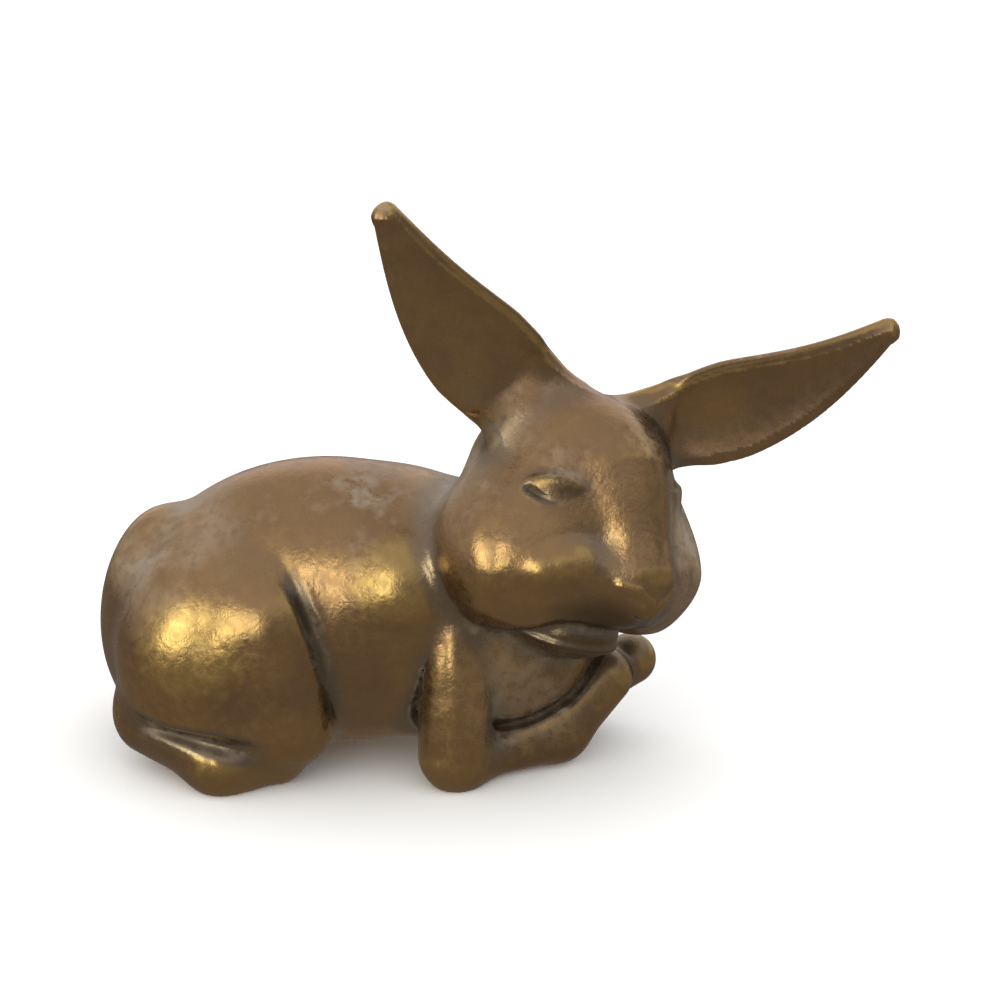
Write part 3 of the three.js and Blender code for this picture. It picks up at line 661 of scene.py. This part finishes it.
def between(value, low, high, start=0.0, end=1.0):
    return ramp(skin_group, value, low, high, start, end)


def over(tone, share, colour):
    return mixed(skin_group, share, tone, colour)


clouds = noise(skin_group, given["Place"], scale=90, detail=4, roughness=0.6)
broad = noise(skin_group, given["Place"], scale=48, detail=3, roughness=0.55)
grain = noise(skin_group, given["Place"], scale=700, detail=3, roughness=0.6)
pits = noise(skin_group, given["Place"], scale=1500, detail=2, roughness=0.5)
patchy = product(calc(skin_group, "SUBTRACT", clouds, 0.5), 0.6)

# Gold where the form stands out, from wear, and more of it as a painted highlight on the haunches, the flanks
# and the ears' inner edges.
rubbed_and_highlight = between(sum_of(given["Bulge"], product(grain, 0.3)), 0.28, 0.6)
rubbed_and_highlight = product(rubbed_and_highlight, between(given["Bulge"], 0.55, 1.0, 1, 0.1))
rubbed_and_highlight = product(rubbed_and_highlight, between(given["Up"], -0.35, 0.15))
# Painted shade as a darker brown where the body closes in around a point, under the head and between the
# limbs.
sheltered = between(given["Shelter"], 0.25, 0.7)
# Painted shade as a darker brown under the muzzle and chin, round the eyes, along the chased lines and on the
# chest.
painted_shade_share = between(given["Painted_shade"], 0.05, 0.6, 0, 0.85)
# Painted shade in the creases, as a duller, darker brown.
crease_shade = between(given["Crease"], 0.04, 0.3, 0, 0.8)

sunk = between(sum_of(given["Crease"], patchy), 0.3, 0.55)
settled = product(between(given["Up"], 0.2, 0.9), between(clouds, 0.48, 0.7))
dust_and_reflection_share = product(most_of(product(sunk, 0.35), settled), between(grain, 0.3, 0.65))
# The dusting zones lay pale grey, which on the far cheek and partly on the rump is a painted reflection.
laid = product(given["Dust_and_reflection"], between(sum_of(clouds, patchy), 0.22, 0.65))
laid = product(laid, between(grain, 0.3, 0.6, 0.5, 0.95))
dust_and_reflection_share = most_of(dust_and_reflection_share, laid)
# Painted shade goes black in the deepest creases and grooves and where the painted shade is strongest.
deep_shade = most_of(between(given["Crease"], 0.4, 0.75, 0, 0.85), between(given["Painted_shade"], 0.62, 0.95, 0, 0.9))

tone = mixed(skin_group, between(clouds, 0.35, 0.7), patina, patina_brown)
tone = over(tone, between(broad, 0.45, 0.7, 0, 0.6), patina_dark)
tone = over(tone, rubbed_and_highlight, burnish_and_highlight_gold)
tone = over(tone, product(sheltered, 0.7), sheltered_shade_brown)
tone = over(tone, painted_shade_share, painted_shade_brown)
tone = over(tone, crease_shade, crease_shade_brown)
tone = over(tone, dust_and_reflection_share, dust_and_reflection_grey)
tone = over(tone, deep_shade, deep_shade_black)
skin_group.links.new(tone, wanted["Colour"])

metal = calc(skin_group, "SUBTRACT", 1.0, product(dust_and_reflection_share, 0.7))
skin_group.links.new(metal, wanted["Metal"])
rough = sum_of(between(grain, 0.3, 0.8, 0.21, 0.37), product(most_of(dust_and_reflection_share, deep_shade), 0.3))
rough = sum_of(rough, product(sheltered, 0.12))
skin_group.links.new(rough, wanted["Roughness"])
height = sum_of(grain, product(pits, 0.4))
bump = put(skin_group, "ShaderNodeBump", {"Height": height, "Strength": 0.12, "Distance": 0.0006})
skin_group.links.new(bump.outputs["Normal"], wanted["Normal"])

aged_brass = bpy.data.materials.new("aged_brass")
aged_brass.use_nodes = True
brass_tree = aged_brass.node_tree
brass_shader = brass_tree.nodes["Principled BSDF"]
facing = brass_tree.nodes.new("ShaderNodeNewGeometry").outputs["Normal"]
worn = {
    "Place": brass_tree.nodes.new("ShaderNodeTexCoord").outputs["Object"],
    "Up": put(brass_tree, "ShaderNodeSeparateXYZ", {0: facing}).outputs["Z"],
}
for mark in skin_marks:
    worn[mark] = put(brass_tree, "ShaderNodeAttribute", {}, attribute_name=mark.lower()).outputs["Fac"]
skin_node = put(brass_tree, "ShaderNodeGroup", {}, node_tree=skin_group)
for name, socket in worn.items():
    brass_tree.links.new(socket, skin_node.inputs[name])
for name, target in (("Metal", "Metallic"), ("Roughness", "Roughness"), ("Normal", "Normal")):
    brass_tree.links.new(skin_node.outputs[name], brass_shader.inputs[target])
# In reflections the brass shows itself as one flat pale brown, a painted reflection colour.
mirrored = brass_tree.nodes.new("ShaderNodeLightPath").outputs["Is Glossy Ray"]
seen_colour = mixed(brass_tree, mirrored, skin_node.outputs["Colour"], brass_in_brass)
brass_tree.links.new(seen_colour, brass_shader.inputs["Base Color"])

# Pouring: the castings together make one softly joined body. Each is the share of it that lies nearest
# to its own form, run a little past its joint and sunk there under its neighbour, so that
# no line shows. Each vertex carries marks of wear, painted highlight, painted shade and painted reflection
# for the finish.

frame_shift = spot(-22.493, 0.194, 0)
joint_overlap = 0.5
joint_sink = 0.06
far_away = 1e3
slope_step = 0.02
bulge_step = 1.0
mark_distances = (0.6, 1, 2.5, 5, 9)
settling_rounds = 2
settling_limit = 0.4


def body_and_share(p, own):
    body, mine, others = None, None, np.float32(far_away)
    for name, mould in moulds.items():
        if name != own and name not in moulds[own]["touches"]:
            continue
        away = mould["form"](p)
        fillet = mould["fillet"](p) if callable(mould["fillet"]) else mould["fillet"]
        body = away if body is None else merge(body, away, fillet)
        if name == own:
            mine = away
        else:
            others = np.minimum(others, away)
    body = carve(body, chased_lines(p), line_softness)
    body = carve(body, foot_crease(p), foot_line_softness)
    body = np.maximum(body, -p[2])
    past = (mine - others) / 2
    sunk = joint_sink * np.clip(past / joint_overlap, 0, 1) ** 2
    return body, np.maximum(body + sunk, past - joint_overlap)


def slope_of(field, p):
    here = field(p)
    step = np.float32(slope_step)
    rise = [field(p + step * axis[:, None]) - here for axis in np.eye(3, dtype=np.float32)]
    return here, np.stack(rise) / step


def bulge_of(field, p):
    step = np.float32(bulge_step)
    around = sum(field(p + step * axis[:, None]) + field(p - step * axis[:, None])
                 for axis in np.eye(3, dtype=np.float32))
    return (around - 6 * field(p)) / step ** 2


# A net over the grid cells that the skin crosses, with one vertex in each of them.
def skin_net(field, low, high, cell):
    low = np.array(low, float)
    count = np.ceil((np.array(high, float) - low) / cell).astype(int) + 1
    lines = [low[i] + cell * np.arange(count[i]) for i in range(3)]
    grid = np.stack(np.meshgrid(*lines, indexing="ij")).astype(np.float32)
    slabs = [field(grid[:, i].reshape(3, -1)) for i in range(count[0])]
    values = np.stack(slabs).reshape(count)
    cells = count - 1
    total = np.zeros((cells.prod(), 3))
    hits = np.zeros(cells.prod(), int)
    rings = []
    for axis in range(3):
        before = [slice(None)] * 3
        after = [slice(None)] * 3
        before[axis] = slice(0, -1)
        after[axis] = slice(1, None)
        a, b = values[tuple(before)], values[tuple(after)]
        u, v = (axis + 1) % 3, (axis + 2) % 3
        at = np.array(np.nonzero((a < 0) != (b < 0)))
        inner = (at[u] > 0) & (at[v] > 0) & (at[u] < cells[u]) & (at[v] < cells[v])
        at = at[:, inner]
        va, vb = a[tuple(at)], b[tuple(at)]
        crossing = np.stack([lines[i][at[i]] for i in range(3)], 1)
        crossing[:, axis] += cell * va / (va - vb)
        ring = []
        for du, dv in ((-1, -1), (0, -1), (0, 0), (-1, 0)):
            beside = at.copy()
            beside[u] += du
            beside[v] += dv
            flat = np.ravel_multi_index(tuple(beside), tuple(cells))
            np.add.at(total, flat, crossing)
            np.add.at(hits, flat, 1)
            ring.append(flat)
        ring = np.stack(ring, 1)
        inward = va > 0
        ring[inward] = ring[inward][:, ::-1]
        rings.append(ring)
    used = np.nonzero(hits)[0]
    index = np.zeros(cells.prod(), int)
    index[used] = np.arange(len(used))
    return total[used] / hits[used][:, None], index[np.concatenate(rings)]


# How far a point's surroundings close in on it at growing distances, how far it stands out, with extra on
# the places given a painted highlight, where painted shade lies, and where a dusting and painted reflection
# lie.
def wear_marks(name, body, p, normal):
    depth = body(p)
    closed_in = [1 - (body(p + normal * np.float32(away)) - depth) / away for away in mark_distances]
    tight, close, closer, wide, wider = closed_in
    marks = {
        "crease": np.maximum(tight, (close + closer) / 2),
        "shelter": (wide + wider) / 2,
        "bulge": bulge_of(body, p) + handled_burnish_and_highlight * handled_and_highlit(p),
        "painted_shade": moulds[name].get("painted_shade", line_painted_shade)(p),
        "dust_and_reflection": dust_and_reflection_on(p),
    }
    if name in ear_places:
        marks["bulge"] *= inner_edge(p, ear_places[name])
    return marks


def pour(name):
    def body(p):
        return body_and_share(p, name)[0]

    def share(p):
        return body_and_share(p, name)[1]

    mould = moulds[name]
    points, squares = skin_net(share, mould["low"], mould["high"], mould["cell"])
    p = points.T.astype(np.float32)
    for _ in range(settling_rounds):
        here, slope = slope_of(share, p)
        move = -here * slope / np.maximum((slope * slope).sum(0), 0.25)
        far = np.sqrt((move * move).sum(0))
        p = p + move * np.minimum(1, settling_limit * mould["cell"] / np.maximum(far, 1e-6))
    _, normal = slope_of(body, p)
    normal /= np.sqrt((normal * normal).sum(0)) + 1e-6
    mesh = bpy.data.meshes.new(name + "_casting")
    mesh.from_pydata(((p.T + frame_shift) / 1000).tolist(), [], squares.tolist())
    mesh.polygons.foreach_set("use_smooth", np.ones(len(mesh.polygons), bool))
    mesh.normals_split_custom_set_from_vertices(normal.T.tolist())
    for mark, level in wear_marks(name, body, p, normal).items():
        layer = mesh.attributes.new(mark, "FLOAT", "POINT")
        layer.data.foreach_set("value", level.astype(np.float32))
    mesh.materials.append(aged_brass)
    piece = bpy.data.objects.new(name + "_casting", mesh)
    bpy.context.scene.collection.objects.link(piece)
    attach(piece, "root")
    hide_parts(name)


for name in moulds:
    pour(name)

# Dowels: short drawn brass rods, out of sight in blind holes, that pin the castings together. They
# stay as CAD made them and only take a plain finish.

rod_gold = (0.44, 0.25, 0.07, 1)
rod_brass = bpy.data.materials.new("plain_brass")
rod_brass.use_nodes = True
rod_shader = rod_brass.node_tree.nodes["Principled BSDF"]
rod_shader.inputs["Base Color"].default_value = rod_gold
rod_shader.inputs["Metallic"].default_value = 1.0
rod_shader.inputs["Roughness"].default_value = 0.3
for name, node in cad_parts.items():
    if name.endswith("_dowel"):
        node.data.materials.clear()
        node.data.materials.append(rod_brass)

# Floor and room: a white floor under a white sky. What the brass mirrors instead is a dim room and
# a dim floor, with two bright windows to the left of the camera that also light the piece.

floor_reach = 3
plain_white = (1, 1, 1, 1)
plain_black = (0, 0, 0, 1)
sky_white = (1.2, 1.2, 1.2, 1)
floor_in_brass = (0.165, 0.15, 0.138, 1)
room_tint = (1.0, 0.965, 1.06, 1)
window_light = (1.0, 0.97, 0.74)
window_distance = 1
window_aim = Vector((0, 0, 0.03))

floor_corners = [(x * floor_reach, y * floor_reach, 0) for x, y in ((-1, -1), (1, -1), (1, 1), (-1, 1))]
floor_mesh = bpy.data.meshes.new("floor")
floor_mesh.from_pydata(floor_corners, [], [(0, 1, 2, 3)])
floor = bpy.data.objects.new("floor", floor_mesh)
bpy.context.scene.collection.objects.link(floor)
white_floor = bpy.data.materials.new("white_floor")
white_floor.use_nodes = True
floor_tree = white_floor.node_tree
floor_shader = floor_tree.nodes["Principled BSDF"]
mirrored = floor_tree.nodes.new("ShaderNodeLightPath").outputs["Is Glossy Ray"]
floor_colour = mixed(floor_tree, mirrored, plain_white, plain_black)
floor_glow = mixed(floor_tree, mirrored, plain_black, floor_in_brass)
floor_tree.links.new(floor_colour, floor_shader.inputs["Base Color"])
floor_tree.links.new(floor_glow, floor_shader.inputs["Emission Color"])
floor_shader.inputs["Emission Strength"].default_value = 1.0
floor_shader.inputs["Roughness"].default_value = 1.0
floor_shader.inputs["Specular IOR Level"].default_value = 0.0
floor_mesh.materials.append(white_floor)

world = bpy.data.worlds.new("room")
bpy.context.scene.world = world
world.use_nodes = True
room_tree = world.node_tree
sky = room_tree.nodes["Background"]
outward = room_tree.nodes.new("ShaderNodeTexCoord").outputs["Generated"]
direction = put(room_tree, "ShaderNodeSeparateXYZ", {0: outward}).outputs


def room_product(a, b):
    return calc(room_tree, "MULTIPLY", a, b)


ceiling_light = ramp(room_tree, direction["Z"], -0.6, 0.8, 0.24, 0.36)
to_the_right = ramp(room_tree, direction["X"], -0.15, 0.25)
below_ceiling = ramp(room_tree, direction["Z"], 0.75, 0.35)
right_wall = room_product(to_the_right, below_ceiling)
right_wall = room_product(right_wall, ramp(room_tree, direction["Y"], 0.7, 0.2))
room_level = room_product(ceiling_light, calc(room_tree, "SUBTRACT", 1.0, room_product(right_wall, 0.5)))
far_off = ramp(room_tree, direction["Y"], 0.6, 0.95)
back_wall = room_product(far_off, ramp(room_tree, direction["Z"], -0.3, 0.0))
room_level = calc(room_tree, "ADD", room_level, room_product(back_wall, 0.35))
grey_parts = {part: room_level for part in range(3)}
room_grey = put(room_tree, "ShaderNodeCombineColor", grey_parts).outputs[0]
tinting = {"data_type": "RGBA", "blend_type": "MULTIPLY"}
room = put(room_tree, "ShaderNodeMix", {0: 1.0, 6: room_grey, 7: room_tint}, **tinting).outputs[2]
mirrored = room_tree.nodes.new("ShaderNodeLightPath").outputs["Is Glossy Ray"]
room_tree.links.new(mixed(room_tree, mirrored, sky_white, room), sky.inputs["Color"])
sky.inputs["Strength"].default_value = 1.0


def toward(azimuth, elevation):
    azimuth, elevation = math.radians(azimuth), math.radians(elevation)
    flat = math.cos(elevation)
    return Vector((math.sin(azimuth) * flat, -math.cos(azimuth) * flat, math.sin(elevation)))


def window(name, azimuth, elevation, wide, tall, power):
    lamp = bpy.data.lights.new(name, "AREA")
    lamp.shape = "RECTANGLE"
    lamp.size = wide
    lamp.size_y = tall
    lamp.energy = power
    lamp.color = window_light
    holder = bpy.data.objects.new(name, lamp)
    bpy.context.scene.collection.objects.link(holder)
    way = toward(azimuth, elevation)
    holder.location = way * window_distance + window_aim
    holder.rotation_mode = "QUATERNION"
    holder.rotation_quaternion = way.to_track_quat("Z", "Y")


window("left_window", azimuth=-46, elevation=17, wide=0.36, tall=0.5, power=1.2)
window("front_window", azimuth=-14, elevation=20, wide=0.22, tall=0.6, power=0.8)

# Camera: it stands in front and a little to the right, looking down at the ornament. The pixel
# size is a length at the ornament's distance, and the ground pixel is where the picture shows the
# ground point, which lies under the body.

photo_width = 1000
pixel_size = 0.14
camera_distance = 450
camera_azimuth = 4
camera_elevation = 20
ground_pixel = (285, 736)
ground_point = spot(-7, 0, 0)
film_width = 36
towards = np.array(toward(camera_azimuth, camera_elevation), np.float32)
right = spot(math.cos(math.radians(camera_azimuth)), math.sin(math.radians(camera_azimuth)), 0)
upward = np.cross(towards, right)
photo_middle = photo_width / 2
right_of_middle = (ground_pixel[0] - photo_middle) * pixel_size
above_middle = (photo_middle - ground_pixel[1]) * pixel_size
target = ground_point + frame_shift - right_of_middle * right - above_middle * upward
lens_at = (target + camera_distance * towards) / 1000
camera_data = bpy.data.cameras.new("camera")
camera_data.sensor_width = film_width
camera_data.lens = film_width * camera_distance / (photo_width * pixel_size)
camera_data.clip_start = 0.01
camera = bpy.data.objects.new("camera", camera_data)
bpy.context.scene.collection.objects.link(camera)
bpy.context.scene.camera = camera
camera.matrix_world = Matrix((
    (right[0], upward[0], towards[0], lens_at[0]),
    (right[1], upward[1], towards[1], lens_at[1]),
    (right[2], upward[2], towards[2], lens_at[2]),
    (0, 0, 0, 1)))
bpy.context.scene.view_settings.view_transform = "Standard"
